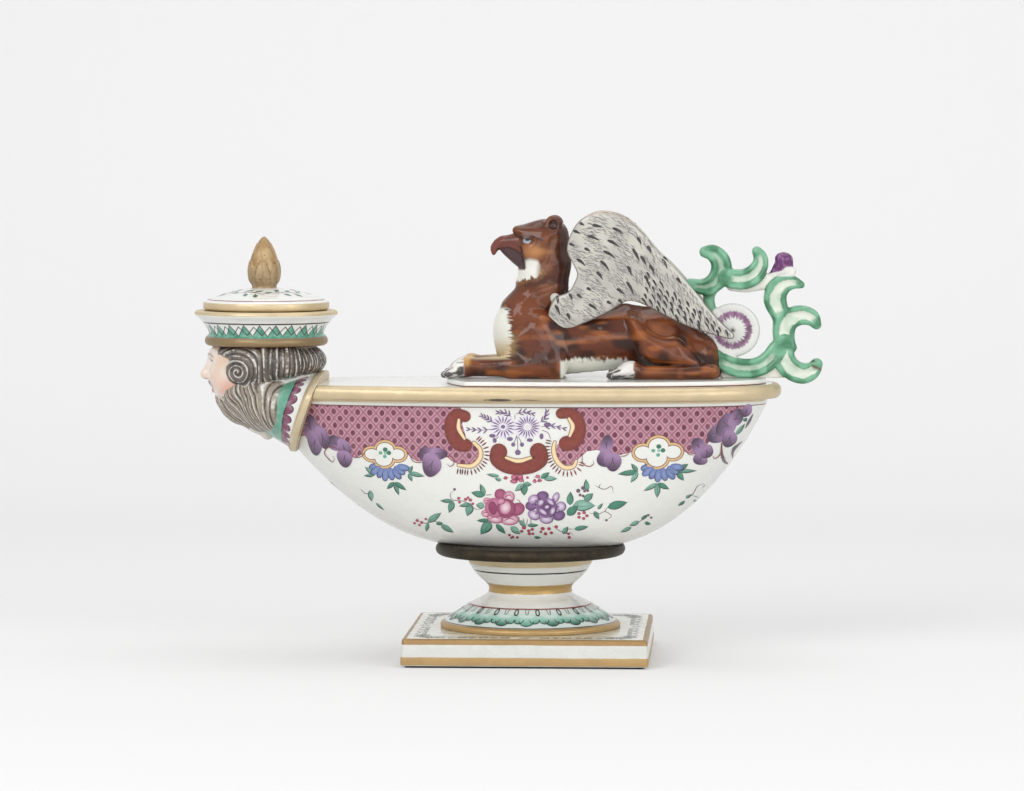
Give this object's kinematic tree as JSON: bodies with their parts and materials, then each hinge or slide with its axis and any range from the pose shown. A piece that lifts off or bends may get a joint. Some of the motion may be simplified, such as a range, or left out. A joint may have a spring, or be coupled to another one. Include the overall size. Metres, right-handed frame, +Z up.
{
  "type": "ornamental lamp",
  "caption": "Porcelain lamp in the antique oil-lamp form: boat-shaped bowl on a pedestal and square plinth, bearded mask nozzle with loose lid, loose cover with a griffin and scroll tail.",
  "frame": {"origin": "middle of the flat underside of the felt pad, on the axis of the pedestal", "axes": "+Z up, nozzle towards -X, scroll tail towards +X, the mirror plane is XZ"},
  "size_m": [0.2496, 0.097, 0.178],
  "materials": {
    "porcelain": "glossy off-white glaze with overglaze enamels and gilding",
    "painted_mask": "glossy enamelled glaze",
    "brown_enamel": "glossy streaked brown enamel",
    "feather_enamel": "glossy off-white glaze with fine black strokes",
    "green_enamel": "glossy translucent green enamel",
    "gilding": "worn soft gilding over glaze",
    "dark_brass": "dark patinated, satin",
    "steel": "dull",
    "felt": "matte felt"
  },
  "bodies": {
    "stand": {"felt_pad": "felt", "plinth": "porcelain", "pedestal_foot": "porcelain", "mount_disc": "dark_brass", "bowl_dish": "porcelain", "bowl_wall": "porcelain", "deck_rim": "porcelain", "neck_arch": "porcelain", "neck_throat": "porcelain", "mask_head": "painted_mask", "coronet_cup": "porcelain", "tie_bolt": "steel", "bowl_washer": "steel", "foot_washer": "steel", "foot_nut": "steel"},
    "griffin_cover": {"cover_plate": "porcelain", "griffin_torso": "brown_enamel", "foreleg_left": "brown_enamel", "foreleg_right": "brown_enamel", "griffin_head": "brown_enamel", "wing_left": "feather_enamel", "wing_right": "feather_enamel", "tail_scroll": "green_enamel"},
    "nozzle_lid": {"spout_lid": "porcelain", "lid_bud": "gilding"}
  },
  "joints": [
    {"name": "cover_lift", "type": "slide", "parent": "stand", "child": "griffin_cover", "axis": [0, 0, 1], "range_m": [0, 0.04]},
    {"name": "lid_lift", "type": "slide", "parent": "stand", "child": "nozzle_lid", "axis": [0, 0, 1], "range_m": [0, 0.04]}
  ]
}
